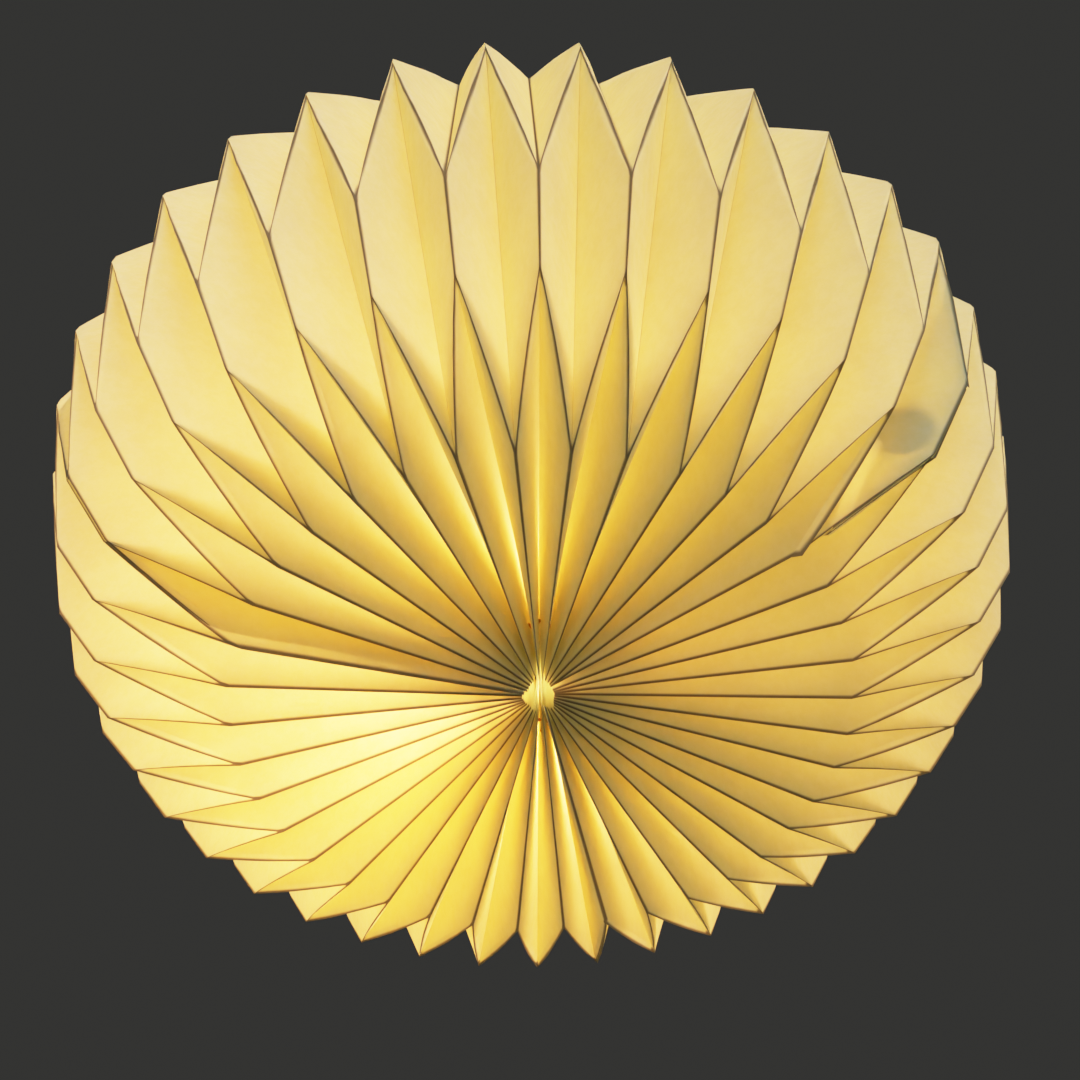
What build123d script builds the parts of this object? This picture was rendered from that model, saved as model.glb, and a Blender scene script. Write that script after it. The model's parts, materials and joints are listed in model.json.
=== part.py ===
"""Pleated paper pendant lantern: three folded sheets, gathered on threads at the bottom and at the top,
hung on an E27 lamp fitting with a bulb.

Millimetres, +Z up. The origin is the mouth of the cord grip, where the flex that holds the lantern enters.
-Y is the front. The seam that opens is on the +X side, a little towards the front.
"""

import os
from math import cos, degrees, pi, radians, sin

from build123d import *
import numpy as np

# ---------------------------------------------------------------- the paper
RIM = 195.0                   # radius of the outermost pleat tips
PLEATS = 39                   # round the whole lantern
SHEETS = 3                    # equal sheets of thirteen pleats
PAPER = 0.3                   # thickness of the paper
PANEL = 0.143 * RIM           # width of a pleat panel, fold to fold

# Stations on the fold lines, as radius and height above the point where the outer folds meet at the bottom.
# Inner folds are recessed at the poles, and outer folds stand out there. The upper half mirrors the lower.
BOTTOM_HOLE = 5.3
TOP_HOLE = 24.0
INNER_LINE = [(BOTTOM_HOLE, PANEL), (0.781 * RIM, 0.019 * RIM), (0.881 * RIM, 0.148 * RIM)]
OUTER_LINE = [(BOTTOM_HOLE, 0.0), (0.532 * RIM, -0.079 * RIM), (1.000 * RIM, 0.497 * RIM)]
RIDGE = 0.020 * RIM           # short upright ridge at the outermost tips
MIDDLE = OUTER_LINE[2][1] + RIDGE / 2
GATHERED = 24.0               # radius inside which the pleats are packed tight
LAP_START = 62.0              # radius where the laps of the seams are cut back

# The pleats are gathered by hand, so they stand a little closer together on one side.
TURN = radians(0.6)
DRIFT_SINE = radians(-1.2)
DRIFT_COSINE = radians(2.2)

FIRST_SEAM = 6                # fold line of the seam that opens; the glued ones are 13 and 26 pleats on
OPENING_LAP = 1.7             # between the middles of the two layers of paper, at the seam that opens
GLUED_LAP = 1.0               # the same at a glued seam
TUCK = 0.2                    # how far the covered edge stays back from its fold, in panel widths
SOFTENING = 0.005             # keeps the paper's faces from running out to long points at sharp folds

DISC_RADIUS = 10.5
DISC_THICKNESS = 0.35
DISC_MIDDLE = 0.22            # from the middle of the seam to the middle of a disc
DISC_AT_INNER = 0.524         # where the discs sit in their triangle, as shares of its three corners:
DISC_AT_OUTER = 0.274         # the crease's ends on the inner and the outer fold, and the belt's tip
DISC_AT_TIP = 1 - DISC_AT_INNER - DISC_AT_OUTER

THREAD_RADIUS = 0.35
KNOT_RADIUS = 0.65
KNOT_LENGTH = 1.3
LOW_THREAD = (22.0, 13.0)     # radius, and height above the bottom pole
HIGH_THREAD_RADIUS = 40.0

# ---------------------------------------------------------------- the fitting, heights above the bottom pole
HANG = 254.0                  # mouth of the cord grip
HOLDER_RADIUS = 19.5
HOLDER_MOUTH = 156.0
HOLDER_TOP = 220.0
HOLDER_WALL = 1.7
THREAD_PITCH = 2.5
THREAD_DEPTH = 0.5
RING_BORE = HOLDER_RADIUS + 0.15
RING_OUTER = 29.0
RING_FLANGE = 2.2
RING_SLEEVE = 8.0
SLEEVE_RADIUS = 22.6
UPPER_RING_FACE = 202.3
WASHER_TOP = 172.0
WASHER = 1.0
WASHER_OUTER = 32.0
MOUTH_BORE = 15.2             # the lip at the holder's mouth, which the bulb's cap passes
MOUTH_LIP = 3.0
CORE_RADIUS = 17.4
CORE_BORE = 14.8
CORE_BOTTOM = 160.0
CORE_TOP = 206.0
CORE_FLOOR = 191.6
CORE_WELL = (5.0, 1.2)        # radius and depth of the room behind the centre contact
SHELL_RADIUS = 14.35          # crests of the screw shell
SHELL_DEPTH = 0.55
SHELL_SHEET = 0.3
SHELL_HEIGHTS = (163.0, 189.0)
CONTACT_HALF_WIDTH = 3.0
TERMINALS = [(-9.5, 0), (9.5, 0)]
TERMINAL_SLOT = (7.2, 8.2)
TERMINAL_SLOT_DEPTH = 10.0
TERMINAL_BLOCK = (7.0, 8.0, 9.0)
TERMINAL_FLOOR = 196.1
TERMINAL_BORE = (1.6, 6.0)    # radius and depth
SCREW_TIP = 200.0
SCREW_RADIUS = 1.55
SCREW_HEAD = (2.8, 1.6)       # radius and height
SCREW_SLOT = (6.0, 0.8, 0.9)
CAP_SKIRT = 212.5
CAP_RADIUS = 21.6
CAP_WALL = 1.8
CAP_TOP = 242.0
CAP_CROWN = (16.5, 235.0)     # points that the cap's dome passes, outside and inside
CAP_HOLLOW = (14.8, 232.6)
GRIP_RADIUS = 6.2
GRIP_BOTTOM = 232.0
GRIP_FLANGE = (2.4, 3.0)      # how far it stands out, and its height
GRIP_SCREW_DROP = 6.0         # below the mouth of the grip
GRIP_SCREW_RADIUS = 1.45
GRIP_SCREW_LENGTH = 4.6
GRIP_SCREW_SLOT = (0.5, 2.2, 0.8)
KNURLS = 30
KNURL_RADIUS = 0.5
CHAMFER = 0.6
FLEX_RADIUS = 3.25

# ---------------------------------------------------------------- the bulb
BULB_TIP = 82.0
BULB_RADIUS = 30.0
BULB_SEAM = 120.0             # where the diffuser meets the housing
BULB_NECK = 157.5
E27_RADIUS = 13.1
E27_PITCH = 3.62
E27_DEPTH = 0.9
SCREW_CAP_TOP = 185.5
CONTACT_TOP = 190.0
DIFFUSER_WALL = 1.2
DIFFUSER_TAPER = 0.6          # how much narrower the globe is at its seam
HOUSING_WALL = 1.3
HOUSING_OUTSIDE = [(25.4, 131.0), (18.0, 144.0), (14.2, BULB_NECK)]
HOUSING_INSIDE = [(12.4, BULB_NECK), (16.2, 144.0), (23.7, 131.0)]
CAP_SHEET = 0.35
CAP_END = (10.4, 10.0)        # outer and inner radius of the screw cap's top edge
CAP_THREAD_START = 6.0
CAP_COLLAR = 4.5
INSULATOR = (10.3, 5.4)       # its lower and upper radius
END_CONTACT = (4.8, 3.6)
END_CONTACT_FOOT = CONTACT_TOP - 1.05
BOARD_RADIUS = 26.0
BOARD = 1.6
BOARD_TOP = BULB_SEAM - 0.2
CHIP_CIRCLE = 17.0
CHIPS = 12
CHIP = (2.8, 3.5, 0.7)
DRIVER_BOARD = (19.0, 1.2, 30.0)
DRIVER_START = 4.0            # above the bulb's seam
DRIVER_BLOCK = (10.0, 12.0, 7.0)
DRIVER_BLOCK_MIDDLE = 26.0
SEAT = 0.05                   # between pieces that touch

os.makedirs("parts", exist_ok=True)
pieces = []


def finish(part, name):
    """Label a finished piece, write it out and say its size."""
    part.label = name
    export_step(part, f"parts/{name}.step")
    pieces.append(name)


def up(height):
    """Height in the part's frame of a height above the bottom pole."""
    return height - HANG


# ---------------------------------------------------------------- fold lines
def along(start, end, radius):
    """Point at a radius on the straight line through two stations."""
    share = (radius - start[0]) / (end[0] - start[0])
    return (radius, start[1] + share * (end[1] - start[1]))


def mirrored(station):
    """The same station in the upper half."""
    return (station[0], 2 * MIDDLE - station[1])


def stations(line):
    """All stations of a fold line, from the bottom hole to the top hole."""
    pole, kink, belt = line
    low = [pole, along(pole, kink, GATHERED), along(pole, kink, LAP_START), kink, belt]
    high = [belt, kink, along(pole, kink, LAP_START), along(pole, kink, TOP_HOLE)]
    return low + [mirrored(station) for station in high]


INNER = stations(INNER_LINE)
OUTER = stations(OUTER_LINE)
LAST = len(INNER) - 1
HALF = LAST // 2
LAP_STATIONS = range(2, LAST)  # stations where the layers of a seam lie apart
LOW_CREASE = 3                # station of the lowest zigzag crease
HIGH_CREASE = LAST - 2        # and of the highest


def is_inner(line):
    return line == int(line)


def fold_angle(line):
    """Angle of a fold line about the axis, from -Y towards +X."""
    even = 2 * pi * line / PLEATS
    return TURN + even + DRIFT_SINE * sin(even) + DRIFT_COSINE * cos(even)


def fold_point(line, station):
    """Point of a fold line in the middle of the paper."""
    radius, height = (INNER if is_inner(line) else OUTER)[station]
    angle = fold_angle(line)
    return np.array([radius * sin(angle), -radius * cos(angle), up(height)])


# ---------------------------------------------------------------- folded sheets
def panel_triangles(line, station):
    """The two triangles between a fold line and the next, from one station to the next, wound outwards."""
    a0, b0 = (line, station), (line + 0.5, station)
    a1, b1 = (line, station + 1), (line + 0.5, station + 1)
    if is_inner(line) == (station < HALF):
        return [(a0, b0, b1), (a0, b1, a1)]
    return [(a0, b0, a1), (b0, b1, a1)]


def lap_triangles(line, first, last):
    """The outer layer of a seam, cut off slantwise below its first station and above its last."""
    triangles = []
    for station in range(first, last):
        triangles += panel_triangles(line, station)
    low_corner = (line, first - 1)
    high_corner = (line, last + 1)
    triangles += [t for t in panel_triangles(line, first - 1) if low_corner not in t]
    triangles += [t for t in panel_triangles(line, last) if high_corner not in t]
    return triangles


def normal(corners):
    a, b, c = corners
    across = np.cross(b - a, c - a)
    return across / np.linalg.norm(across)


def offset_directions(triangles, points):
    """For each point, the move that shifts the paper's faces there outwards by one unit."""
    touching = {key: [] for key in points}
    for triangle in triangles:
        face_normal = normal([points[key] for key in triangle])
        for key in triangle:
            touching[key].append(face_normal)
    directions = {}
    for key, normals in touching.items():
        matrix = sum(np.outer(n, n) for n in normals) / len(normals)
        directions[key] = np.linalg.solve(matrix + SOFTENING * np.eye(3), sum(normals) / len(normals))
    return directions


def facet(corners):
    """A flat three-cornered face."""
    return Face(Wire.make_polygon([Vector(*corner) for corner in corners], close=True))


def thick(triangles, points, shifts):
    """A closed solid of paper around a folded surface, shifted outwards by a distance at each point."""
    directions = offset_directions(triangles, points)
    outside, inside = {}, {}
    for key, point in points.items():
        outside[key] = point + (shifts.get(key, 0.0) + PAPER / 2) * directions[key]
        inside[key] = point + (shifts.get(key, 0.0) - PAPER / 2) * directions[key]
    edges = {(t[i], t[(i + 1) % 3]) for t in triangles for i in range(3)}
    faces = []
    for a, b, c in triangles:
        faces.append(facet([outside[a], outside[b], outside[c]]))
        faces.append(facet([inside[a], inside[c], inside[b]]))
    for a, b in edges:
        if (b, a) not in edges:
            faces.append(facet([outside[a], inside[a], inside[b]]))
            faces.append(facet([outside[a], inside[b], outside[b]]))
    return Solid(Shell(faces))


def covered_edge(seam, station):
    """The edge under a seam's lap, a little back from the fold before the seam."""
    fold = fold_point(seam - 0.5, station)
    return fold + TUCK * (fold_point(seam, station) - fold)


def folded_sheet(seam, lap, next_lap):
    """A sheet from just before one seam to the next one, which it covers with its last panel."""
    last_fold = seam + PLEATS // SHEETS - 0.5
    whole_lines = [seam - 0.5 + i / 2 for i in range(2 * PLEATS // SHEETS)]
    triangles = [t for line in whole_lines for station in range(LAST) for t in panel_triangles(line, station)]
    first, last = (LOW_CREASE, HIGH_CREASE) if next_lap == OPENING_LAP else (2, LAST - 1)
    triangles += lap_triangles(last_fold, first, last)
    points = {key: fold_point(*key) for triangle in triangles for key in triangle}
    shifts = {}
    for station in range(LAST + 1):
        points[(seam - 0.5, station)] = covered_edge(seam, station)
        shifts[(last_fold + 0.5, station)] = next_lap / 2 if station in LAP_STATIONS else next_lap
    for station in LAP_STATIONS:
        shifts[(seam - 0.5, station)] = -lap / 2
        shifts[(seam, station)] = -lap / 2
        shifts[(last_fold, station)] = next_lap / 2
    return thick(triangles, points, shifts)


SEAMS = [FIRST_SEAM, FIRST_SEAM + 13, FIRST_SEAM + 26]
LAPS = [OPENING_LAP, GLUED_LAP, GLUED_LAP]

with BuildPart() as paper_sheet_right:
    add(folded_sheet(SEAMS[0], LAPS[0], LAPS[1]))
finish(paper_sheet_right.part, "paper_sheet_right")

with BuildPart() as paper_sheet_left:
    add(folded_sheet(SEAMS[1], LAPS[1], LAPS[2]))
finish(paper_sheet_left.part, "paper_sheet_left")

with BuildPart() as paper_sheet_front:
    add(folded_sheet(SEAMS[2], LAPS[2], LAPS[0]))
finish(paper_sheet_front.part, "paper_sheet_front")


# ---------------------------------------------------------------- closing discs
def belt_plane(station):
    """Plane on the opening seam's belt panel, at the discs' place in its triangle next to the crease."""
    crease = LOW_CREASE if station == LOW_CREASE else HIGH_CREASE
    triangles = panel_triangles(FIRST_SEAM - 0.5, station)
    triangle = next(t for t in triangles if sum(key[1] == crease for key in t) == 2)
    place = np.zeros(3)
    for line, corner_station in triangle:
        share = DISC_AT_TIP if corner_station != crease else DISC_AT_INNER if is_inner(line) else DISC_AT_OUTER
        place += share * fold_point(line, corner_station)
    return Plane(Vector(*place), z_dir=Vector(*normal([fold_point(*key) for key in triangle])))


def closing_discs(offset):
    """A disc on the lower belt and one on the upper, at a distance from the middle of the seam."""
    with BuildPart() as discs:
        for station in (LOW_CREASE, HIGH_CREASE - 1):
            with BuildSketch(belt_plane(station).offset(offset)):
                Circle(DISC_RADIUS)
            extrude(amount=DISC_THICKNESS / 2, both=True)
    return discs.part


finish(closing_discs(DISC_MIDDLE), "closing_discs_outer")
finish(closing_discs(-DISC_MIDDLE), "closing_discs_inner")


# ---------------------------------------------------------------- gathering threads
def thread_loop(radius, height, knot_line):
    """A thread drawn through the middle of every panel, with its knot between two pleats."""
    knot_plane = Plane.XZ.rotated((0, 0, degrees(fold_angle(knot_line)) - 90))
    with BuildPart() as loop:
        with BuildSketch(knot_plane):
            with Locations((radius, up(height))):
                Circle(THREAD_RADIUS)
        revolve(axis=Axis.Z)
        with BuildSketch(knot_plane):
            with Locations((radius, up(height))):
                Circle(KNOT_RADIUS)
        revolve(axis=Axis.Z, revolution_arc=degrees(KNOT_LENGTH / radius))
    return loop.part


def panel_middle(radius):
    """Height of the middle of the upper panels at a radius."""
    inner = mirrored(along(INNER_LINE[0], INNER_LINE[1], radius))[1]
    outer = mirrored(along(OUTER_LINE[0], OUTER_LINE[1], radius))[1]
    return (inner + outer) / 2


finish(thread_loop(*LOW_THREAD, 19), "bottom_gathering_thread")
finish(thread_loop(HIGH_THREAD_RADIUS, panel_middle(HIGH_THREAD_RADIUS), 19), "top_gathering_thread")


# ---------------------------------------------------------------- lamp holder
def turned(*outline):
    """A solid of revolution, from a closed outline of radius and height above the bottom pole."""
    with BuildPart() as solid:
        with BuildSketch(Plane.XZ):
            with BuildLine():
                Polyline(*[(radius, up(height)) for radius, height in outline], close=True)
            make_face()
        revolve(axis=Axis.Z)
    return solid.part


def wave(radius, depth, pitch, bottom, top):
    """Thread profile from bottom to top, as crests and roots in turn."""
    count = int((top - bottom) / pitch)
    points = []
    for turn in range(count):
        points.append((radius - depth, bottom + turn * pitch))
        points.append((radius, bottom + (turn + 0.5) * pitch))
    return points


with BuildPart() as holder_shell:
    shell_inside = HOLDER_RADIUS - HOLDER_WALL
    add(turned(
        (shell_inside, HOLDER_MOUTH),
        (HOLDER_RADIUS - THREAD_DEPTH, HOLDER_MOUTH),
        *wave(HOLDER_RADIUS, THREAD_DEPTH, THREAD_PITCH, HOLDER_MOUTH + 1.5, HOLDER_TOP - 1),
        (HOLDER_RADIUS - THREAD_DEPTH, HOLDER_TOP),
        (shell_inside, HOLDER_TOP),
    ))
    add(turned(
        (MOUTH_BORE, HOLDER_MOUTH),
        (shell_inside + 0.2, HOLDER_MOUTH),
        (shell_inside + 0.2, HOLDER_MOUTH + MOUTH_LIP),
        (MOUTH_BORE, HOLDER_MOUTH + MOUTH_LIP - 1),
    ))
finish(holder_shell.part, "holder_shell")

with BuildPart() as holder_core:
    well_radius, well_depth = CORE_WELL
    add(turned(
        (CORE_BORE, CORE_BOTTOM),
        (CORE_RADIUS, CORE_BOTTOM),
        (CORE_RADIUS, CORE_TOP),
        (0, CORE_TOP),
        (0, CORE_FLOOR + well_depth),
        (well_radius, CORE_FLOOR + well_depth),
        (well_radius, CORE_FLOOR),
        (CORE_BORE, CORE_FLOOR),
    ))
    with BuildSketch(Plane.XY.offset(up(CORE_TOP))):
        with Locations(*TERMINALS):
            Rectangle(*TERMINAL_SLOT)
    extrude(amount=-TERMINAL_SLOT_DEPTH, mode=Mode.SUBTRACT)
finish(holder_core.part, "holder_core")

with BuildPart() as holder_screw_shell:
    inner_wave = wave(SHELL_RADIUS, SHELL_DEPTH, E27_PITCH, *SHELL_HEIGHTS)
    outer_wave = [(radius + SHELL_SHEET, height) for radius, height in inner_wave]
    add(turned(*inner_wave, *reversed(outer_wave)))
finish(holder_screw_shell.part, "holder_screw_shell")

with BuildPart() as centre_contact:
    with BuildSketch(Plane.XZ):
        with BuildLine():
            Polyline(
                (-11.0, up(CORE_FLOOR - 0.05)),
                (-6.0, up(CORE_FLOOR - 0.05)),
                (-2.0, up(CONTACT_TOP + 0.5)),
                (3.0, up(CONTACT_TOP + 0.5)),
                (4.5, up(CONTACT_TOP + 1.0)),
                (4.5, up(CONTACT_TOP + 0.6)),
                (3.2, up(CONTACT_TOP + 0.1)),
                (-2.3, up(CONTACT_TOP + 0.1)),
                (-6.2, up(CORE_FLOOR - 0.45)),
                (-11.0, up(CORE_FLOOR - 0.45)),
                close=True,
            )
        make_face()
    extrude(amount=CONTACT_HALF_WIDTH, both=True)
finish(centre_contact.part, "centre_contact")

with BuildPart() as terminal_blocks:
    block_width, block_depth, block_height = TERMINAL_BLOCK
    bore_radius, bore_depth = TERMINAL_BORE
    with BuildSketch(Plane.XY.offset(up(TERMINAL_FLOOR))):
        with Locations(*TERMINALS):
            Rectangle(block_width, block_depth)
    extrude(amount=block_height)
    with BuildSketch(Plane.XY.offset(up(TERMINAL_FLOOR + block_height))):
        with Locations(*TERMINALS):
            Circle(bore_radius)
    extrude(amount=-bore_depth, mode=Mode.SUBTRACT)
finish(terminal_blocks.part, "terminal_blocks")

with BuildPart() as terminal_screws:
    under_head = TERMINAL_FLOOR + TERMINAL_BLOCK[2] + 0.3
    head_radius, head_height = SCREW_HEAD
    slot_length, slot_width, slot_depth = SCREW_SLOT
    with BuildSketch(Plane.XY.offset(up(SCREW_TIP))):
        with Locations(*TERMINALS):
            Circle(SCREW_RADIUS)
    extrude(amount=under_head - SCREW_TIP)
    with BuildSketch(Plane.XY.offset(up(under_head))):
        with Locations(*TERMINALS):
            Circle(head_radius)
    extrude(amount=head_height)
    with BuildSketch(Plane.XY.offset(up(under_head + head_height))):
        with Locations(*TERMINALS):
            Rectangle(slot_length, slot_width)
    extrude(amount=-slot_depth, mode=Mode.SUBTRACT)
finish(terminal_screws.part, "terminal_screws")

with BuildPart() as holder_cap:
    with BuildSketch(Plane.XZ):
        with BuildLine() as dome:
            side = Line((CAP_RADIUS, up(CAP_SKIRT)), (CAP_RADIUS, up(HOLDER_TOP + 3)))
            crown = ThreePointArc(
                side @ 1, (CAP_CROWN[0], up(CAP_CROWN[1])), (GRIP_RADIUS + 1.5, up(CAP_TOP)))
            lip = Line(crown @ 1, (GRIP_RADIUS + 0.15, up(CAP_TOP)))
            bore = Line(lip @ 1, (GRIP_RADIUS + 0.15, up(CAP_TOP - 3.5)))
            under = ThreePointArc(
                bore @ 1, (CAP_HOLLOW[0], up(CAP_HOLLOW[1])), (HOLDER_RADIUS - 0.2, up(HOLDER_TOP + 1.5)))
            ledge = Line(under @ 1, (HOLDER_RADIUS - 0.2, up(HOLDER_TOP + 0.2)))
            seat = Line(ledge @ 1, (RING_BORE + 0.05, up(HOLDER_TOP + 0.2)))
            skirt = Line(seat @ 1, (RING_BORE + 0.05, up(CAP_SKIRT)))
            Line(skirt @ 1, side @ 0)
        make_face()
    revolve(axis=Axis.Z)
finish(holder_cap.part, "holder_cap")

with BuildPart() as cord_grip:
    flange_reach, flange_height = GRIP_FLANGE
    add(turned(
        (FLEX_RADIUS, GRIP_BOTTOM),
        (GRIP_RADIUS + flange_reach, GRIP_BOTTOM),
        (GRIP_RADIUS + flange_reach, GRIP_BOTTOM + flange_height),
        (GRIP_RADIUS, GRIP_BOTTOM + flange_height),
        (GRIP_RADIUS, CAP_TOP + 0.4),
        (GRIP_RADIUS + 0.9, CAP_TOP + 0.4),
        (GRIP_RADIUS - 0.2, HANG - 1.0),
        (GRIP_RADIUS - 1.2, HANG),
        (FLEX_RADIUS, HANG),
    ))
    with BuildSketch(Plane.YZ):
        with Locations((0, up(HANG - GRIP_SCREW_DROP))):
            Circle(GRIP_SCREW_RADIUS + SEAT)
    extrude(amount=GRIP_RADIUS + GRIP_SCREW_LENGTH, mode=Mode.SUBTRACT)
finish(cord_grip.part, "cord_grip")

with BuildPart() as cord_grip_screw:
    slot_width, slot_length, slot_depth = GRIP_SCREW_SLOT
    with BuildSketch(Plane.YZ.offset(FLEX_RADIUS + SEAT)):
        with Locations((0, up(HANG - GRIP_SCREW_DROP))):
            Circle(GRIP_SCREW_RADIUS)
    extrude(amount=GRIP_SCREW_LENGTH)
    with BuildSketch(Plane.YZ.offset(FLEX_RADIUS + SEAT + GRIP_SCREW_LENGTH)):
        with Locations((0, up(HANG - GRIP_SCREW_DROP))):
            Rectangle(slot_width, slot_length)
    extrude(amount=-slot_depth, mode=Mode.SUBTRACT)
finish(cord_grip_screw.part, "cord_grip_screw")


# ---------------------------------------------------------------- rings that hold the shade
def shade_ring(face, downwards):
    """A screwed ring whose flange has its working face at a height, with a knurled sleeve behind it."""
    way = -1 if downwards else 1
    with BuildPart() as ring:
        add(turned(
            (RING_BORE, face),
            (RING_OUTER, face),
            (RING_OUTER, face + way * (RING_FLANGE - CHAMFER)),
            (RING_OUTER - CHAMFER, face + way * RING_FLANGE),
            (SLEEVE_RADIUS, face + way * RING_FLANGE),
            (SLEEVE_RADIUS, face + way * RING_SLEEVE),
            (RING_BORE, face + way * RING_SLEEVE),
        ))
        with BuildSketch(Plane.XY.offset(up(face + way * RING_FLANGE))):
            with PolarLocations(SLEEVE_RADIUS, KNURLS):
                Circle(KNURL_RADIUS)
        extrude(amount=way * (RING_SLEEVE - RING_FLANGE), mode=Mode.SUBTRACT)
    return ring.part


finish(shade_ring(UPPER_RING_FACE, False), "upper_shade_ring")
finish(shade_ring(WASHER_TOP - WASHER - SEAT, True), "lower_shade_ring")

with BuildPart() as ring_washer:
    with BuildSketch(Plane.XY.offset(up(WASHER_TOP))):
        Circle(WASHER_OUTER)
        Circle(RING_BORE + 0.3, mode=Mode.SUBTRACT)
    extrude(amount=-WASHER)
finish(ring_washer.part, "ring_washer")

# ---------------------------------------------------------------- bulb
with BuildPart() as bulb_diffuser:
    with BuildSketch(Plane.XZ):
        with BuildLine():
            globe = up(BULB_TIP + BULB_RADIUS)
            inner_radius = BULB_RADIUS - DIFFUSER_WALL
            edge = Line((BULB_RADIUS - DIFFUSER_TAPER, up(BULB_SEAM)), (BULB_RADIUS, globe))
            outside = CenterArc((0, globe), BULB_RADIUS, 0, -90)
            Line(outside @ 1, (0, globe - inner_radius))
            CenterArc((0, globe), inner_radius, 0, -90)
            back = Line((inner_radius, globe), (inner_radius - DIFFUSER_TAPER, up(BULB_SEAM)))
            Line(back @ 1, edge @ 0)
        make_face()
    revolve(axis=Axis.Z)
finish(bulb_diffuser.part, "bulb_diffuser")

with BuildPart() as bulb_housing:
    with BuildSketch(Plane.XZ):
        with BuildLine():
            lip_radius = BULB_RADIUS - DIFFUSER_TAPER
            lip_height = up(BULB_SEAM + SEAT)
            lip = Line((lip_radius - HOUSING_WALL, lip_height), (lip_radius, lip_height))
            outside = [(radius, up(height)) for radius, height in HOUSING_OUTSIDE]
            inside = [(radius, up(height)) for radius, height in HOUSING_INSIDE]
            flare = Spline(lip @ 1, *outside, tangents=[(-0.15, 1.0), (-0.1, 1.0)])
            Line(flare @ 1, inside[0])
            Spline(*inside, lip @ 0, tangents=[(0.1, -1.0), (0.15, -1.0)])
        make_face()
    revolve(axis=Axis.Z)
finish(bulb_housing.part, "bulb_housing")

with BuildPart() as bulb_screw_cap:
    outer_wave = wave(E27_RADIUS, E27_DEPTH, E27_PITCH, BULB_NECK + CAP_THREAD_START, SCREW_CAP_TOP)
    inner_wave = [(radius - CAP_SHEET, height) for radius, height in outer_wave]
    add(turned(
        (E27_RADIUS - CAP_SHEET, BULB_NECK + SEAT),
        (E27_RADIUS, BULB_NECK + SEAT),
        (E27_RADIUS, BULB_NECK + CAP_COLLAR),
        *outer_wave,
        (CAP_END[0], SCREW_CAP_TOP),
        (CAP_END[1], SCREW_CAP_TOP),
        *reversed(inner_wave),
        (E27_RADIUS - CAP_SHEET, BULB_NECK + CAP_COLLAR),
    ))
finish(bulb_screw_cap.part, "bulb_screw_cap")

with BuildPart() as bulb_insulator:
    add(turned(
        (0, SCREW_CAP_TOP + SEAT),
        (INSULATOR[0], SCREW_CAP_TOP + SEAT),
        (INSULATOR[1], END_CONTACT_FOOT - SEAT),
        (0, END_CONTACT_FOOT - SEAT),
    ))
finish(bulb_insulator.part, "bulb_insulator")

with BuildPart() as bulb_end_contact:
    foot, crown = END_CONTACT
    add(turned((0, END_CONTACT_FOOT), (foot, END_CONTACT_FOOT), (crown, CONTACT_TOP), (0, CONTACT_TOP)))
finish(bulb_end_contact.part, "bulb_end_contact")

with BuildPart() as led_board:
    with BuildSketch(Plane.XY.offset(up(BOARD_TOP))):
        Circle(BOARD_RADIUS)
    extrude(amount=-BOARD)
finish(led_board.part, "led_board")

with BuildPart() as led_chips:
    chip_width, chip_length, chip_height = CHIP
    with BuildSketch(Plane.XY.offset(up(BOARD_TOP - BOARD - SEAT))):
        with PolarLocations(CHIP_CIRCLE, CHIPS):
            Rectangle(chip_width, chip_length)
    extrude(amount=-chip_height)
finish(led_chips.part, "led_chips")

with BuildPart() as led_driver:
    board_width, board_thickness, board_height = DRIVER_BOARD
    block_width, block_height, block_depth = DRIVER_BLOCK
    with BuildSketch(Plane.XY.offset(up(BULB_SEAM + DRIVER_START))):
        Rectangle(board_width, board_thickness)
    extrude(amount=board_height)
    with BuildSketch(Plane.XZ.offset(-board_thickness / 2)):
        with Locations((0, up(BULB_SEAM + DRIVER_BLOCK_MIDDLE))):
            Rectangle(block_width, block_height)
    extrude(amount=-block_depth)
finish(led_driver.part, "led_driver")

print(len(pieces), "nodes")
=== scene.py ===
"""Looks of the pleated paper lantern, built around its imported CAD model.

Metres, in the CAD model's frame: +Z up, origin at the mouth of the cord grip, -Y the front.
The three paper sheets are made again here with finer folds, and the lantern is lit from inside.
"""

import json
from math import cos, pi, radians, sin

import bmesh
import bpy
import numpy as np
from mathutils import Matrix, Vector, noise


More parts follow.
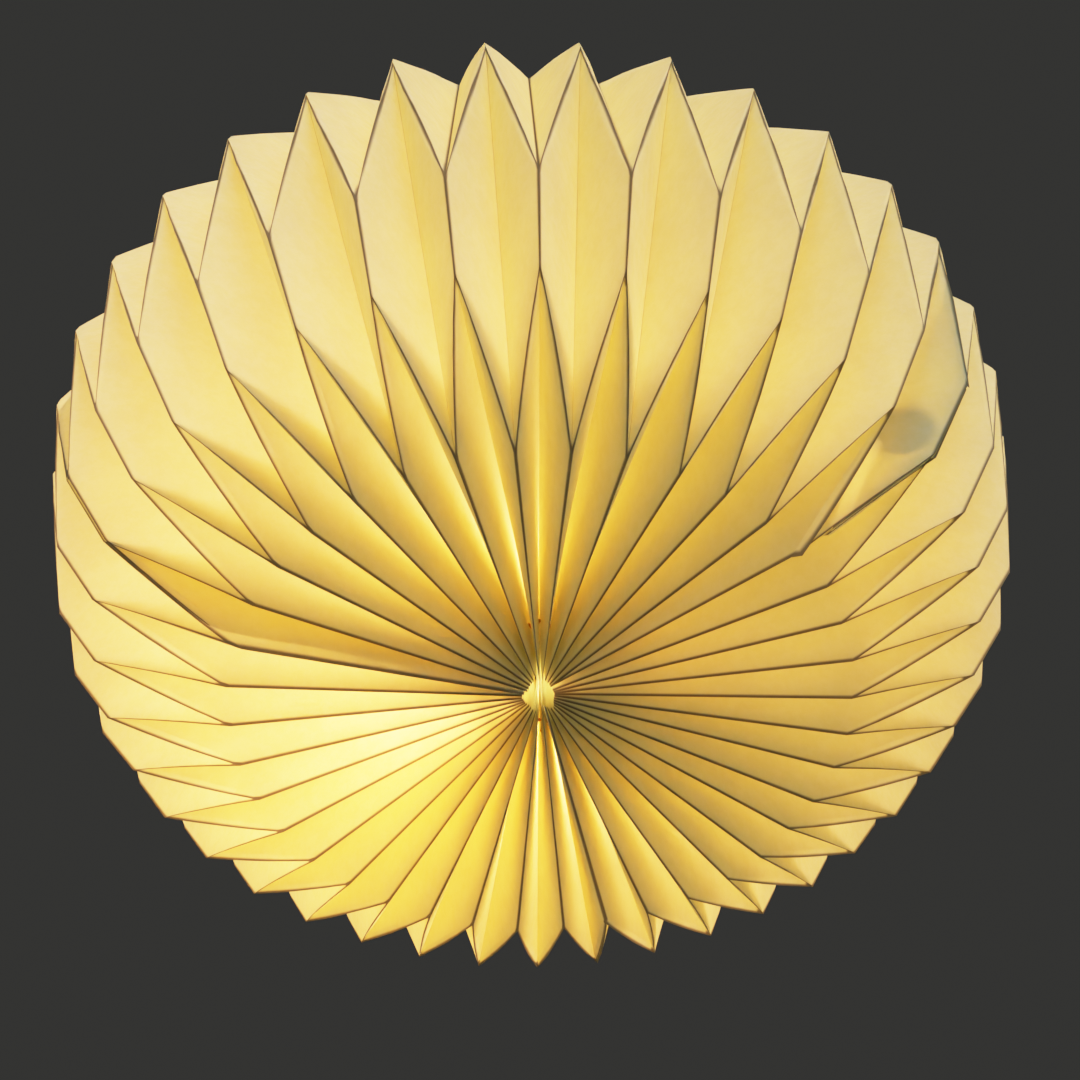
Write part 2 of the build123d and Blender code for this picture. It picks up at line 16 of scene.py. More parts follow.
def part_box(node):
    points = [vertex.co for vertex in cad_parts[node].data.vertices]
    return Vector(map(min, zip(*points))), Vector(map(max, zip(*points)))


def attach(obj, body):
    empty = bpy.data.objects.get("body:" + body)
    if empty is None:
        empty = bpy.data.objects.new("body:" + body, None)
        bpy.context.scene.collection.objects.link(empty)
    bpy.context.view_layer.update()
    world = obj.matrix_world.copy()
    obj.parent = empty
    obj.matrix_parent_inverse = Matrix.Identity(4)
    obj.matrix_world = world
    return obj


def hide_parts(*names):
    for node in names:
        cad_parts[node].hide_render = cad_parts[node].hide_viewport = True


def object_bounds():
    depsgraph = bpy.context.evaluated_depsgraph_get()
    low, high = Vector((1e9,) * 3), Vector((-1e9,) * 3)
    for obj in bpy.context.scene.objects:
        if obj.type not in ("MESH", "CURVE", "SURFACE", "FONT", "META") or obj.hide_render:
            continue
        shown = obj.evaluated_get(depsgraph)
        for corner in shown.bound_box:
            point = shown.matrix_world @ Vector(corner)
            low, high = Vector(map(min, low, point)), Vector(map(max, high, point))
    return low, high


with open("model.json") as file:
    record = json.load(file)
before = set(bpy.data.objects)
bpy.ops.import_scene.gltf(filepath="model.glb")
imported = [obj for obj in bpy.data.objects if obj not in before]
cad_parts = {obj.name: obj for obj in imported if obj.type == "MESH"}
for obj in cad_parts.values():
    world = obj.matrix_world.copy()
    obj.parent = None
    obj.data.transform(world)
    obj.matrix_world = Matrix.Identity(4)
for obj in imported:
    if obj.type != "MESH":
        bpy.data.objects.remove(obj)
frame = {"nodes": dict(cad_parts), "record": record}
cad_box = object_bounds()

# ---------------------------------------------------------------- sizes taken from the frame
LOW, HIGH = (np.array(corner) for corner in cad_box)
SHEET_LOW, SHEET_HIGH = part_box("paper_sheet_front")
RIM = (HIGH[0] - LOW[0]) / 2                        # radius of the outermost pleat tips
MIDDLE = (SHEET_LOW.z + SHEET_HIGH.z) / 2           # height of the widest part
POLE = MIDDLE - 0.507 * RIM                         # where the outer folds meet at the bottom

# ---------------------------------------------------------------- folds, as shares of the rim's radius
PLEATS = 39
SHEETS = 3
PANEL = 0.143
BOTTOM_HOLE = 0.027
TOP_HOLE = 0.123
INNER_LINE = [(BOTTOM_HOLE, PANEL), (0.781, 0.019), (0.881, 0.148)]
OUTER_LINE = [(BOTTOM_HOLE, 0.0), (0.532, -0.079), (1.0, 0.497)]
TURN = radians(0.6)
DRIFT_SINE = radians(-1.2)
DRIFT_COSINE = radians(2.2)
FIRST_SEAM = 6
TOP = 5                     # stations run from 0, the bottom hole, to 5, the top one
LONG_STATION = 0.09         # rough length in metres between two stations, except on the middle strip

OPENING_LAP = 0.0017        # gap between the two layers at the seam that opens
GLUED_LAP = 0.0009
TUCK = 0.2                  # how far a covered edge stays back, in panel widths
HEM = 0.025                 # how far the loose edge reaches past its crease, in stations
GLUED_START = 0.3           # where the glued laps reach their full width, in stations
GLUED_WIDTH = 0.5           # their width before that, in panel widths
CUT_WIDTH = 0.26            # how far the loose panel stays off its fold beside the poles

ACROSS = [0.07, 0.25, 0.42, 0.58, 0.75, 0.93, 1.0]  # mesh columns across a panel, close beside its folds
ALONG = [30, 14, 10, 14, 26]                        # mesh steps between stations
BESIDE = 0.02               # the rows nearest to a zigzag crease, in stations
WANDER = 0.0009             # how far hand-made folds stray
FOLD_SEED = 7               # of that wander, which would otherwise differ from run to run
BULGE = 0.0007              # how far the paper springs out between its folds
POLE_BULGE = 0.4            # the share of that in the bottom and top sections
RIPPLE = 0.00025            # height of the waves in a panel
RIPPLE_SCALE = 38.0
HOLE_WIDER = 0.0006         # the gathered ends at the bottom stand uneven
HOLE_UNEVEN = 0.0022
HOLE_WAVES = 1.6
TIP_SOFTNESS = 0.5          # how much of each outer tip is rounded off
TIP_REACH = (0.015, 0.3)    # in stations, on the belt and on the middle strip
# These two widen the distance that places the painted crease shade, so that shade shows fainter on
# valleys and belts.
SOFT_FOLD = 0.0012          # how much fainter a valley's crease shows, as a distance
BELT_FOLD = 0.0003          # and the creases of the belts


# ---------------------------------------------------------------- folds
def station_points(line):
    """Radius and height of a fold line's corners, in metres, from the bottom hole to the top one."""
    pole, kink, belt = line
    share = (TOP_HOLE - pole[0]) / (kink[0] - pole[0])
    top = (TOP_HOLE, pole[1] + share * (kink[1] - pole[1]))
    low = [(radius * RIM, POLE + height * RIM) for radius, height in (pole, kink, belt)]
    high = [(radius * RIM, 2 * MIDDLE - POLE - height * RIM) for radius, height in (belt, kink, top)]
    return low + high


INNER = station_points(INNER_LINE)
OUTER = station_points(OUTER_LINE)
noise.seed_set(FOLD_SEED)


def fold_angle(line):
    """Angle of a fold line round the axis. The pleats are a little closer together on one side."""
    even = 2 * pi * line / PLEATS
    return TURN + even + DRIFT_SINE * sin(even) + DRIFT_COSINE * cos(even)


def stray(line, station):
    """A small shift of a fold's corner, the same each run."""
    if station == TOP:
        return np.zeros(3)
    if station == 0:
        angle = fold_angle(line)
        around = Vector((HOLE_WAVES * sin(angle), HOLE_WAVES * cos(angle), 0.0))
        outwards = HOLE_WIDER + HOLE_UNEVEN * noise.noise(around)
        rise = HOLE_UNEVEN * noise.noise(around + Vector((0, 0, 5.0)))
        return np.array([outwards * sin(angle), -outwards * cos(angle), rise])
    place = Vector(((line % PLEATS) * 3.71, station * 5.33, 1.9))
    return WANDER * np.array(noise.noise_vector(place))


def fold_point(line, station):
    """A fold line's corner at a whole station."""
    radius, height = (INNER if line == int(line) else OUTER)[station]
    angle = fold_angle(line)
    return np.array([radius * sin(angle), -radius * cos(angle), height]) + stray(line, station)


def straight_fold(line, place):
    """A point on a fold line before its tips are rounded."""
    station = min(int(place), TOP - 1)
    share = place - station
    return (1 - share) * fold_point(line, station) + share * fold_point(line, station + 1)


def on_fold(line, place):
    """A point on a fold line, at a place from 0 to TOP in stations. The outer tips are rounded."""
    point = straight_fold(line, place)
    if line == int(line) or place not in (2, 3):
        return point
    belt, strip = TIP_REACH if place == 2 else TIP_REACH[::-1]
    beside = (straight_fold(line, place - belt) + straight_fold(line, place + strip)) / 2
    return point + TIP_SOFTNESS * (beside - point)


def panel_point(line, share, place):
    """A point on the panel between a fold line and the next one."""
    return (1 - share) * on_fold(line, place) + share * on_fold(line + 0.5, place)


def panel_normal(line, share, place):
    """The panel's outward normal there."""
    step = 0.01
    near, far = (place, place + step) if place + step <= int(place) + 1 else (place - step, place)
    across = on_fold(line + 0.5, place) - on_fold(line, place)
    along = panel_point(line, share, far) - panel_point(line, share, near)
    normal = np.cross(across, along)
    return normal / max(np.linalg.norm(normal), 1e-9)


def places():
    """The mesh rows, as places along the fold lines, with close rows beside the zigzag creases."""
    rows = []
    for station, steps in enumerate(ALONG):
        rows += [station + step / steps for step in range(steps)]
    rows += [TOP, 1 - HEM, 4 + HEM, GLUED_START, 2 - TIP_REACH[0], 3 + TIP_REACH[0]]
    rows += [1 + BESIDE, 2 + BESIDE, 3 - BESIDE, 4 - BESIDE]
    return sorted({round(row, 4) for row in rows})


ROWS = places()


# ---------------------------------------------------------------- paper sheets
def sheet_columns(seam, lap, next_lap):
    """Each mesh column as its panel's first fold line, share across that panel, and shift outwards."""
    last = seam + PLEATS // SHEETS - 0.5
    tucked = [TUCK] + ACROSS[2:]
    columns = [(seam - 0.5, share, -lap / 2) for share in tucked]
    line = seam
    while line < last:
        for share in ACROSS:
            ease = 0.0
            if line == seam:
                ease = -lap / 2 * (1 - share)
            elif line == last - 0.5:
                ease = next_lap / 2 * share
            columns.append((line, share, ease))
        line += 0.5
    columns += [(last, share, next_lap / 2) for share in ACROSS]
    return columns


def kept(column, row_low, row_high, last, opening):
    """Whether the paper reaches a mesh cell: the laps are cut back near the poles."""
    if column[0] != last:
        return True
    if not opening and column[1] < GLUED_WIDTH:
        return True
    reach = 1 - HEM if opening else GLUED_START
    if row_low < reach - 1e-6 or row_high > TOP - reach + 1e-6:
        return False
    cut = opening and (row_low < 1 - 1e-6 or row_high > TOP - 1 + 1e-6)
    return not (cut and column[1] < CUT_WIDTH)


def fold_distance(line, share, place):
    """Distance in metres, roughly, from the nearest crease, which places the painted crease shade.
    Valleys, seen from outside, are softer.
    """
    from_inner = share if line == int(line) else 1 - share
    width = PANEL * RIM
    inner_soft, outer_soft = (BELT_FOLD, SOFT_FOLD) if 1 < place < TOP - 1 else (SOFT_FOLD, 0.0)
    across = min(from_inner * width + inner_soft, (1 - from_inner) * width + outer_soft)
    nearest = min(abs(place - crease) for crease in (1, 2, 3, 4))
    station = min(int(place), TOP - 1)
    length = LONG_STATION
    if station == 2:
        length = np.linalg.norm(on_fold(0.5, station + 1) - on_fold(0, station))
    return min(across, nearest * length + BELT_FOLD)


def build_sheet(name, seam, lap, next_lap, material):
    """One folded sheet as a single surface of paper."""
    last = seam + PLEATS // SHEETS - 0.5
    opening = next_lap == OPENING_LAP
    columns = sheet_columns(seam, lap, next_lap)
    vertices, distances, flat = [], [], []
    for line, share, shift in columns:
        for place in ROWS:
            arch = 4 * share * (1 - share)
            swell = BULGE * arch * (1 if 1 <= place <= TOP - 1 else POLE_BULGE)
            normal = panel_normal(line, share, place)
            point = panel_point(line, share, place) + (shift + swell) * normal
            ripple = noise.noise(Vector(point) * RIPPLE_SCALE + Vector((seam, 0, 0)))
            point = point + normal * RIPPLE * ripple * arch
            vertices.append(point)
            distances.append(fold_distance(line, share, place))
            flat.append(((line - seam + share / 2) * 2 * PANEL * RIM, place))
    faces = []
    count = len(ROWS)
    for c in range(len(columns) - 1):
        for r in range(count - 1):
            if kept(columns[c + 1], ROWS[r], ROWS[r + 1], last, opening):
                low, high = c * count + r, (c + 1) * count + r
                faces.append((low, high, high + 1, low + 1))
    mesh = bpy.data.meshes.new(name)
    mesh.from_pydata([tuple(v) for v in vertices], [], faces)
    crease = mesh.attributes.new("crease", "FLOAT", "POINT")
    crease.data.foreach_set("value", np.array(distances, dtype=np.float32))
    uv = mesh.uv_layers.new(name="cut")
    corner_points = np.zeros(len(mesh.loops), dtype=np.int32)
    mesh.loops.foreach_get("vertex_index", corner_points)
    uv.data.foreach_set("uv", np.array(flat, dtype=np.float32)[corner_points].ravel())
    mesh.shade_smooth()
    rows_at = {ROWS.index(float(place)) for place in range(1, TOP)}
    folds = {c for c, column in enumerate(columns) if abs(column[1] - 1) < 1e-9}
    sharp = np.zeros(len(mesh.edges), dtype=bool)
    for i, edge in enumerate(mesh.edges):
        (c0, r0), (c1, r1) = (divmod(v, count) for v in edge.vertices)
        sharp[i] = (c0 == c1 and c0 in folds) or (r0 == r1 and r0 in rows_at)
    mesh.attributes.new("sharp_edge", "BOOLEAN", "EDGE").data.foreach_set("value", sharp)
    mesh.materials.append(material)
    sheet = bpy.data.objects.new(name, mesh)
    bpy.context.scene.collection.objects.link(sheet)
    remove_loose(mesh)
    return sheet


def remove_loose(mesh):
    """Deletes the points that no face uses."""
    work = bmesh.new()
    work.from_mesh(mesh)
    bmesh.ops.delete(work, geom=[v for v in work.verts if not v.link_faces], context="VERTS")
    work.to_mesh(mesh)
    work.free()


# ---------------------------------------------------------------- materials
def new_material(name):
    material = bpy.data.materials.new(name)
    material.use_nodes = True
    material.node_tree.nodes.clear()
    return material, material.node_tree.nodes, material.node_tree.links


def link_output(nodes, links, shader):
    output = nodes.new("ShaderNodeOutputMaterial")
    links.new(shader, output.inputs["Surface"])


def ramp(nodes, links, value, low, high, low_colour, high_colour):
    """Colour that runs from one to the other as a value goes from low to high."""
    node = nodes.new("ShaderNodeMapRange")
    node.inputs["From Min"].default_value = low
    node.inputs["From Max"].default_value = high
    node.interpolation_type = "SMOOTHSTEP"
    links.new(value, node.inputs["Value"])
    mix = nodes.new("ShaderNodeMix")
    mix.data_type = "RGBA"
    mix.inputs["A"].default_value = (*low_colour, 1)
    mix.inputs["B"].default_value = (*high_colour, 1)
    links.new(node.outputs["Result"], mix.inputs["Factor"])
    return mix.outputs["Result"]


def multiplied(nodes, links, first, second):
    """The product of two colours."""
    times = nodes.new("ShaderNodeMix")
    times.data_type = "RGBA"
    times.blend_type = "MULTIPLY"
    times.inputs["Factor"].default_value = 1.0
    links.new(first, times.inputs["A"])
    links.new(second, times.inputs["B"])
    return times.outputs["Result"]


def noise_value(nodes, links, scale, detail=4.0, roughness=0.6):
    """Noise in the object's own space."""
    place = nodes.new("ShaderNodeTexCoord")
    texture = nodes.new("ShaderNodeTexNoise")
    texture.inputs["Scale"].default_value = scale
    texture.inputs["Detail"].default_value = detail
    texture.inputs["Roughness"].default_value = roughness
    links.new(place.outputs["Object"], texture.inputs["Vector"])
    return texture.outputs["Fac"]


FIBRES = (260.0, 6.0, 0.7)                          # scale, detail and roughness of the noise
CLOUDS = (45.0, 4.0, 0.6)
DENSE_PAPER = (0.96, 0.89, 0.37)
THIN_PAPER = (0.99, 0.92, 0.44)
CLOUDED = (0.90, 0.88, 0.86)
WHITE = (1, 1, 1)
# Painted shade along the paper's creases: a soft darkening beside each crease, a darker outer face along
# it and a dark line in the light let through.
CREASE_SHADE = [0.0006, 0.0026, (0.94, 0.92, 0.90)] # distances from the crease, and the tint at it
# painted shade: the outer face darkened along each crease
PAINTED_CREASE_SHADE_ON_FACE = [0.0006, 0.0015, (0.36, 0.32, 0.28)]
# painted shade: a dark line along each crease in the light let through
PAINTED_CREASE_LINE = [0.0007, 0.0017]
PAINTED_LINE_COLOUR = (0.12, 0.09, 0.05, 1)


def paper_material():
    """Fibrous paper that lets warm light through, with painted shade along its creases."""
    material, nodes, links = new_material("paper")
    fibres = noise_value(nodes, links, *FIBRES)
    clouds = noise_value(nodes, links, *CLOUDS)
    attribute = nodes.new("ShaderNodeAttribute")
    attribute.attribute_name = "crease"
    distance = attribute.outputs["Fac"]
    # painted shade: mask of the dark line along each crease, mixed into the light let through below
    near = ramp(nodes, links, distance, *PAINTED_CREASE_LINE, WHITE, (0, 0, 0))

    through = ramp(nodes, links, fibres, 0.35, 0.68, DENSE_PAPER, THIN_PAPER)
    cloud = ramp(nodes, links, clouds, 0.3, 0.7, CLOUDED, WHITE)
    # painted shade: the light let through grows softly darker beside each crease
    shade = ramp(nodes, links, distance, *CREASE_SHADE, WHITE)
    fibres_clouds_and_painted_shade = multiplied(nodes, links, multiplied(nodes, links, through, cloud), shade)
    dark = nodes.new("ShaderNodeMix")
    dark.data_type = "RGBA"
    dark.inputs["B"].default_value = PAINTED_LINE_COLOUR
    links.new(near, dark.inputs["Factor"])
    links.new(fibres_clouds_and_painted_shade, dark.inputs["A"])

    face = ramp(nodes, links, fibres, 0.35, 0.68, DENSE_PAPER, THIN_PAPER)
    # painted shade: the outer face darkened along each crease
    painted_face_shade = ramp(nodes, links, distance, *PAINTED_CREASE_SHADE_ON_FACE, WHITE)
    surface = multiplied(nodes, links, face, painted_face_shade)
    bump = nodes.new("ShaderNodeBump")
    bump.inputs["Strength"].default_value = 0.35
    bump.inputs["Distance"].default_value = 0.0004
    links.new(fibres, bump.inputs["Height"])

    diffuse = nodes.new("ShaderNodeBsdfDiffuse")
    diffuse.inputs["Roughness"].default_value = 0.3
    links.new(surface, diffuse.inputs["Color"])
    links.new(bump.outputs["Normal"], diffuse.inputs["Normal"])
    translucent = nodes.new("ShaderNodeBsdfTranslucent")
    links.new(dark.outputs["Result"], translucent.inputs["Color"])
    mix = nodes.new("ShaderNodeMixShader")
    mix.inputs["Fac"].default_value = 0.5
    links.new(diffuse.outputs["BSDF"], mix.inputs[1])
    links.new(translucent.outputs["BSDF"], mix.inputs[2])
    link_output(nodes, links, mix.outputs["Shader"])
    return material


GLOSS_SPREAD = 0.07
GLOSSIEST = 0.03
GLOW_COLOUR = (1.0, 0.80, 0.52, 1)


def solid_material(
    name, colour, roughness, metallic=0.0, grain=300.0, depth=0.00003, spread=0.06, glow=0.0
):
    """A moulded, turned or woven surface, with a fine grain in its colour, gloss and relief."""
    material, nodes, links = new_material(name)
    value = noise_value(nodes, links, grain)
    shader = nodes.new("ShaderNodeBsdfPrincipled")
    darker = tuple(max(channel - spread, 0.0) for channel in colour)
    links.new(ramp(nodes, links, value, 0.3, 0.7, darker, colour), shader.inputs["Base Color"])
    gloss = nodes.new("ShaderNodeMapRange")
    gloss.inputs["To Min"].default_value = max(roughness - GLOSS_SPREAD, GLOSSIEST)
    gloss.inputs["To Max"].default_value = min(roughness + GLOSS_SPREAD, 1.0)
    links.new(value, gloss.inputs["Value"])
    links.new(gloss.outputs["Result"], shader.inputs["Roughness"])
    shader.inputs["Metallic"].default_value = metallic
    bump = nodes.new("ShaderNodeBump")
    bump.inputs["Strength"].default_value = 0.4
    bump.inputs["Distance"].default_value = depth
    links.new(value, bump.inputs["Height"])
    links.new(bump.outputs["Normal"], shader.inputs["Normal"])
    if glow:
        shader.inputs["Emission Color"].default_value = GLOW_COLOUR
        shader.inputs["Emission Strength"].default_value = glow
    link_output(nodes, links, shader.outputs["BSDF"])
    return material


PAPER = paper_material()
FINISHES = {
    "disc_fabric": solid_material("disc_fabric", (0.34, 0.32, 0.28), 0.95, grain=2500.0, depth=0.0002),
    "thread": solid_material("thread", (0.80, 0.36, 0.05), 0.8, grain=1800.0, depth=0.0001, spread=0.12),
    "white_plastic": solid_material("white_plastic", (0.84, 0.84, 0.81), 0.42),
    "porcelain": solid_material("porcelain", (0.85, 0.83, 0.78), 0.6, grain=500.0),
    "brass": solid_material("brass", (0.80, 0.60, 0.26), 0.32, metallic=1.0, grain=120.0),
    "steel": solid_material("steel", (0.62, 0.62, 0.62), 0.35, metallic=1.0, grain=150.0),
    "clear_nylon": solid_material("clear_nylon", (0.74, 0.74, 0.71), 0.35),
    "opal": solid_material("opal", (0.93, 0.91, 0.86), 0.5, glow=4.0),
    "bulb_plastic": solid_material("bulb_plastic", (0.83, 0.83, 0.80), 0.45),
    "nickel": solid_material("nickel", (0.72, 0.71, 0.68), 0.25, metallic=1.0, grain=140.0),
    "black_insulator": solid_material("black_insulator", (0.05, 0.05, 0.05), 0.3, spread=0.02),
    "board": solid_material("board", (0.80, 0.80, 0.77), 0.5),
    "led": solid_material("led", (0.90, 0.72, 0.20), 0.6, grain=3000.0),
    "driver": solid_material("driver", (0.08, 0.28, 0.14), 0.5, grain=700.0),
}

# ---------------------------------------------------------------- the three sheets of the shade
SEAMS = [FIRST_SEAM + PLEATS // SHEETS * i for i in range(SHEETS)]
SHEET_NAMES = ["right", "left", "front"]
LAPS = [OPENING_LAP, GLUED_LAP, GLUED_LAP]

for i, side in enumerate(SHEET_NAMES):
    sheet = build_sheet(f"folded_paper_{side}", SEAMS[i], LAPS[i], LAPS[(i + 1) % SHEETS], PAPER)
    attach(sheet, "lantern")
    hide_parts(f"paper_sheet_{side}")

# ---------------------------------------------------------------- gathering threads
THREAD_RADIUS = 0.0004
THREAD_TWIST = 0.0045                               # length of one turn of the two strands
THREAD_SWAY = 0.0009
LOOP_INSET = 0.0006                                 # the loop's middle lies inside the CAD thread's box
COIL_RADIUS = 0.0011
COIL_STEP = 0.00007
COIL_POINTS = 24
END_SPREAD = 0.0004                                 # a loose end's steps, along the loop and outwards
END_STEP = 0.0008
KNOT_LINE = 19


def strand(curve, points, cyclic):
    """One strand of a thread through its points."""
    spline = curve.splines.new("NURBS")
    spline.points.add(len(points) - 1)
    for i, point in enumerate(points):
        spline.points[i].co = (*point, 1)
    spline.order_u = 3
    spline.use_cyclic_u = cyclic
    spline.use_endpoint_u = not cyclic


def loop_frame(angle, radius, height):
    """Middle of a thread's loop at an angle, and the direction outwards."""
    outwards = np.array([sin(angle), -cos(angle), 0.0])
    sway = THREAD_SWAY * sin(2 * PLEATS / 3 * angle)
    return (radius + sway) * outwards + np.array([0, 0, height + sway]), outwards


def gathering_thread(name, radius, height):
    """Two strands twisted together into a loop, with a knot and two short ends."""
    curve = bpy.data.curves.new(name, "CURVE")
    curve.dimensions = "3D"
    curve.bevel_depth = THREAD_RADIUS
    curve.bevel_resolution = 3
    turns = round(2 * pi * radius / THREAD_TWIST)
    steps = 8 * turns
    for phase in (0, pi):
        points = []
        for i in range(steps):
            middle, outwards = loop_frame(2 * pi * i / steps, radius, height)
            twist = 2 * pi * turns * i / steps + phase
            offset = 0.8 * THREAD_RADIUS * (cos(twist) * outwards + sin(twist) * np.array([0, 0, 1.0]))
            points.append(middle + offset)
        strand(curve, points, True)
    knot_angle = fold_angle(KNOT_LINE + 0.25)
    middle, outwards = loop_frame(knot_angle, radius, height)
    along = np.array([cos(knot_angle), sin(knot_angle), 0.0])
    coil = []
    for i in range(COIL_POINTS):
        turn = 2 * pi * i / 8
        around = COIL_RADIUS * (cos(turn) * outwards + sin(turn) * np.array([0, 0, 1.0]))
        coil.append(middle + around + (i - COIL_POINTS / 2) * COIL_STEP * along)
    strand(curve, coil, False)
    for side in (-1, 1):
        away = side * END_SPREAD * along + END_STEP * outwards
        strand(curve, [middle + step * away for step in range(1, 8)], False)
    thread = bpy.data.objects.new(name, curve)
    bpy.context.scene.collection.objects.link(thread)
    curve.materials.append(FINISHES["thread"])
    return thread


for end in ("bottom", "top"):
    low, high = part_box(f"{end}_gathering_thread")
    radius = (high.y - low.y) / 2 - LOOP_INSET
    thread = gathering_thread(f"twisted_thread_{end}", radius, (low.z + high.z) / 2)
    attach(thread, "lantern")
    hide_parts(f"{end}_gathering_thread")

# ---------------------------------------------------------------- closing discs
DISC_RADIUS = 0.0105
DISC_THICKNESS = 0.0004
DISC_RINGS = 6
DISC_SPOKES = 32
DISC_SHARES = {"inner": 0.524, "outer": 0.274, "tip": 0.202}
DISC_LINE = FIRST_SEAM - 0.5
DISC_RIM = 0.45                                     # thickness of its rim, as a share of its middle's
DISC_SHIFT = 0.00026                                # how far each half lies from the middle of the pair


def panel_place(target, share, place):
    """The share and place of the panel's point nearest to a target."""
    step = 1e-4
    for _ in range(6):
        here = panel_point(DISC_LINE, share, place)
        across = (panel_point(DISC_LINE, share + step, place) - here) / step
        along = (panel_point(DISC_LINE, share, place + step) - here) / step
        move, *_ = np.linalg.lstsq(np.stack([across, along], 1), target - here, rcond=None)
        share, place = share + move[0], place + move[1]
    return share, place


def bent_disc(work, crease, tip, shift):
    """A round piece of fabric that follows the curve of the belt panel."""
    inner, outer = fold_point(FIRST_SEAM, crease), fold_point(DISC_LINE, crease)
    high = fold_point(DISC_LINE, tip)
    centre = DISC_SHARES["inner"] * inner + DISC_SHARES["outer"] * outer + DISC_SHARES["tip"] * high
    across = (inner - outer) / np.linalg.norm(inner - outer)
    along = high - outer
    along -= across * (along @ across)
    along /= np.linalg.norm(along)
    start = (0.6, crease + 0.25 * (tip - crease))
    sides = []
    for face in (1, -1):
        rings = []
        for ring in range(DISC_RINGS + 1):
            row = []
            for spoke in range(DISC_SPOKES):
                angle = 2 * pi * spoke / DISC_SPOKES
                reach = DISC_RADIUS * ring / DISC_RINGS
                target = centre + reach * (cos(angle) * across + sin(angle) * along)
                share, place = panel_place(target, *start)
                height = shift + face * DISC_THICKNESS / 2 * (DISC_RIM if ring == DISC_RINGS else 1.0)
                middle = panel_point(DISC_LINE, share, place)
                row.append(work.verts.new(middle + height * panel_normal(DISC_LINE, share, place)))
                if ring == 0:
                    row = row * DISC_SPOKES
                    break
            rings.append(row)
        sides.append(rings)
    for rings in sides:
        for ring in range(DISC_RINGS):
            for spoke in range(DISC_SPOKES):
                after = (spoke + 1) % DISC_SPOKES
                near, far = rings[ring], rings[ring + 1]
                work.faces.new(dict.fromkeys([near[spoke], far[spoke], far[after], near[after]]))
    top, bottom = (rings[DISC_RINGS] for rings in sides)
    for spoke in range(DISC_SPOKES):
        after = (spoke + 1) % DISC_SPOKES
        work.faces.new((top[spoke], bottom[spoke], bottom[after], top[after]))


for layer, shift in (("outer", DISC_SHIFT), ("inner", -DISC_SHIFT)):
    mesh = bpy.data.meshes.new(f"fabric_discs_{layer}")
    work = bmesh.new()
    bent_disc(work, 1, 2, shift)
    bent_disc(work, 4, 3, shift)
    bmesh.ops.recalc_face_normals(work, faces=work.faces)
    work.to_mesh(mesh)
    work.free()
    mesh.shade_smooth()
    mesh.materials.append(FINISHES["disc_fabric"])
    discs = bpy.data.objects.new(f"fabric_discs_{layer}", mesh)
    bpy.context.scene.collection.objects.link(discs)
    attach(discs, "lantern")
    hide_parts(f"closing_discs_{layer}")

# ---------------------------------------------------------------- finishes of the CAD pieces
for entry in frame["record"]["subparts"]:
    if entry["material_slot"] in FINISHES:
        node = frame["nodes"][entry["node"]]
        node.data.materials.clear()
        node.data.materials.append(FINISHES[entry["material_slot"]])

# ---------------------------------------------------------------- light
BULB_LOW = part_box("bulb_diffuser")[0].z
HOLE_HEIGHT = 0.014                                 # of the small glow above the bottom hole
BULB_SIZE = 0.010                                   # radius of the light inside the shade
HOLE_GLOW_SIZE = 0.003


def lamp(name, place, power, colour, radius, kind="POINT"):
    """A lamp inside the shade. A spot shines down, most of all straight below it."""
    data = bpy.data.lights.new(name, kind)
    data.energy = power
    data.color = colour
    data.shadow_soft_size = radius
    if kind == "SPOT":
        data.spot_size = pi
        data.spot_blend = 1.0
    light = bpy.data.objects.new(name, data)
    light.location = place
    bpy.context.scene.collection.objects.link(light)


def soft_box(name, place, size, power, colour):
    """A large soft light that faces the middle of the lantern."""
    data = bpy.data.lights.new(name, "AREA")
    data.shape = "SQUARE"
    data.size = size
    data.energy = power
    data.color = colour
    light = bpy.data.objects.new(name, data)
    light.location = place
    light.rotation_euler = (Vector((0, 0, MIDDLE)) - Vector(place)).to_track_quat("-Z", "Y").to_euler()
    light.visible_camera = False
    bpy.context.scene.collection.objects.link(light)


lamp("lamp", (-0.026, 0.009, BULB_LOW - 0.033), 2.1, (1.0, 0.62, 0.62), BULB_SIZE)
lamp("lamp_down", (-0.024, 0.008, BULB_LOW - 0.020), 4.4, (1.0, 0.46, 0.13), BULB_SIZE, "SPOT")
lamp("hole_glow", (0, 0, POLE + HOLE_HEIGHT), 0.02, (1.0, 0.95, 0.75), HOLE_GLOW_SIZE)
soft_box("window", (0.5, -1.9, 0.7), 1.6, 76.0, (0.34, 0.50, 1.0))
soft_box("side", (2.0, 0.2, 0.1), 1.4, 6.0, (0.9, 1.0, 0.9))
soft_box("far_side", (-2.0, 0.3, 0.1), 1.4, 6.0, (1.0, 0.8, 0.5))
soft_box("ceiling", (-0.2, 0.9, 1.9), 1.8, 60.0, (1.0, 0.86, 0.62))

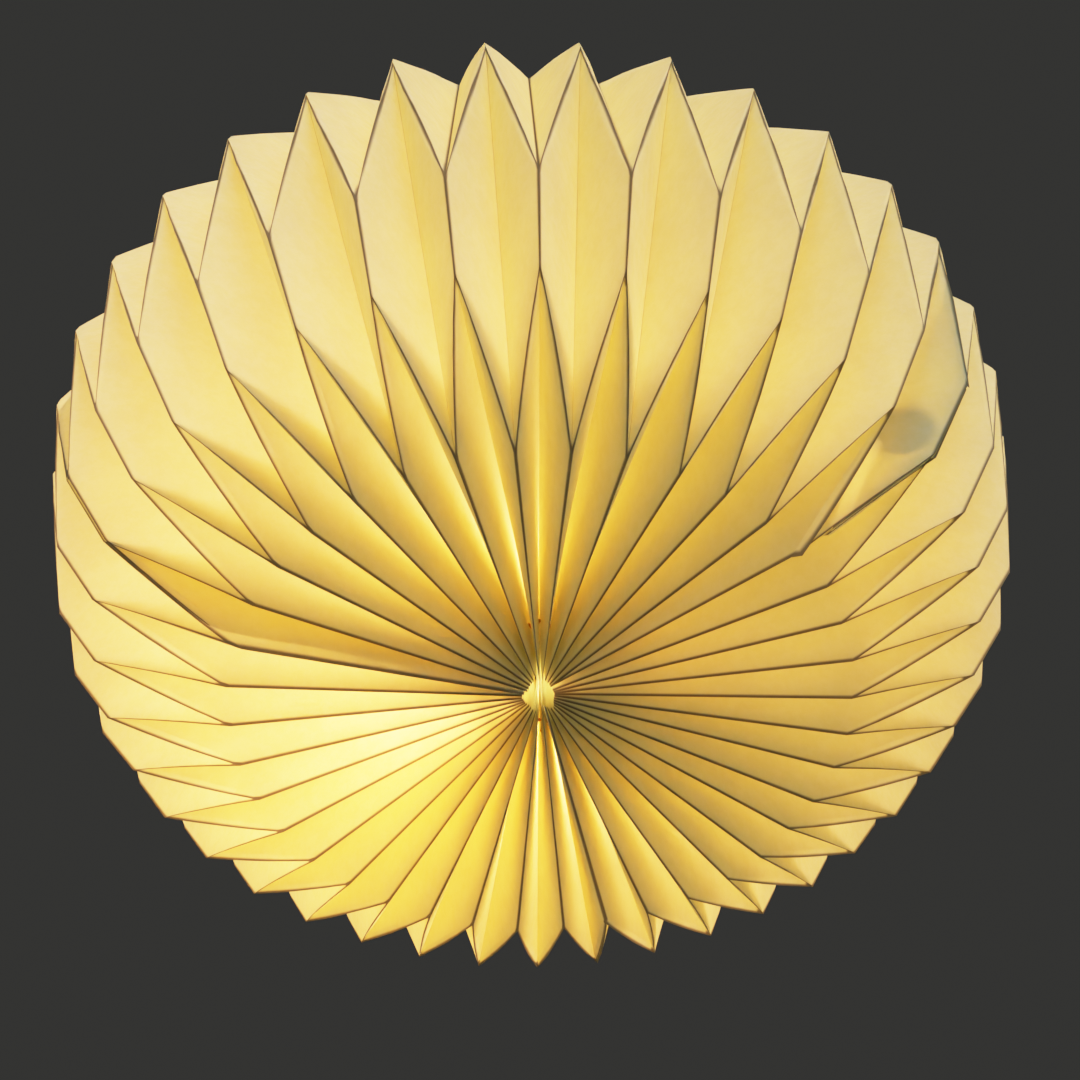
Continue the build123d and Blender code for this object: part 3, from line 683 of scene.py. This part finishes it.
world = bpy.data.worlds.new("studio")
world.use_nodes = True
world.node_tree.nodes["Background"].inputs["Color"].default_value = (0.034, 0.034, 0.032, 1)
world.node_tree.nodes["Background"].inputs["Strength"].default_value = 1.0
bpy.context.scene.world = world

FLOOR = -1.25
FLOOR_SIZE = 6.0
bpy.ops.mesh.primitive_plane_add(size=FLOOR_SIZE, location=(0, 0, FLOOR))
floor = bpy.context.object
floor.name = "floor"
floor.data.materials.append(solid_material("pale_floor", (0.62, 0.62, 0.60), 0.8, grain=12.0))

# ---------------------------------------------------------------- camera, below the lantern and in front
ELEVATION = radians(57.5)
ROLL = radians(3.19)
DISTANCE = 1.97 * RIM
ASIDE = 0.014 * RIM
ABOVE = 0.279 * RIM
back = np.array([0, -cos(ELEVATION), -sin(ELEVATION)])
right = np.array([1.0, 0, 0])
up = np.cross(back, right)
rolled_right = cos(ROLL) * right - sin(ROLL) * up
rolled_up = sin(ROLL) * right + cos(ROLL) * up
place = np.array([0, 0, POLE]) + DISTANCE * back + ASIDE * right + ABOVE * up
camera_data = bpy.data.cameras.new("camera")
camera_data.sensor_width = 36.0
camera_data.lens = 36.9
camera_data.clip_start = 0.01
camera = bpy.data.objects.new("camera", camera_data)
turn = Matrix([rolled_right, rolled_up, back]).transposed()
camera.matrix_world = Matrix.Translation(Vector(place)) @ turn.to_4x4()
bpy.context.scene.collection.objects.link(camera)
bpy.context.scene.camera = camera

# ---------------------------------------------------------------- tone
BRIGHTEST = 4.0                                     # the scene's brightness at the end of the curve
TONE_STEPS = 16


def soft_tone(value):
    """Keeps dark tones as they are and rounds the bright ones off, like film."""
    return value / (1 + value ** 2) ** 0.5


view = bpy.context.scene.view_settings
view.view_transform = "Standard"
view.use_curve_mapping = True
tone = view.curve_mapping
tone.white_level = (BRIGHTEST, BRIGHTEST, BRIGHTEST)
tone.curves[3].points[-1].location = (1.0, soft_tone(BRIGHTEST))
for step in range(1, TONE_STEPS):
    level = (step / TONE_STEPS) ** 2
    tone.curves[3].points.new(level, soft_tone(level * BRIGHTEST))
tone.update()
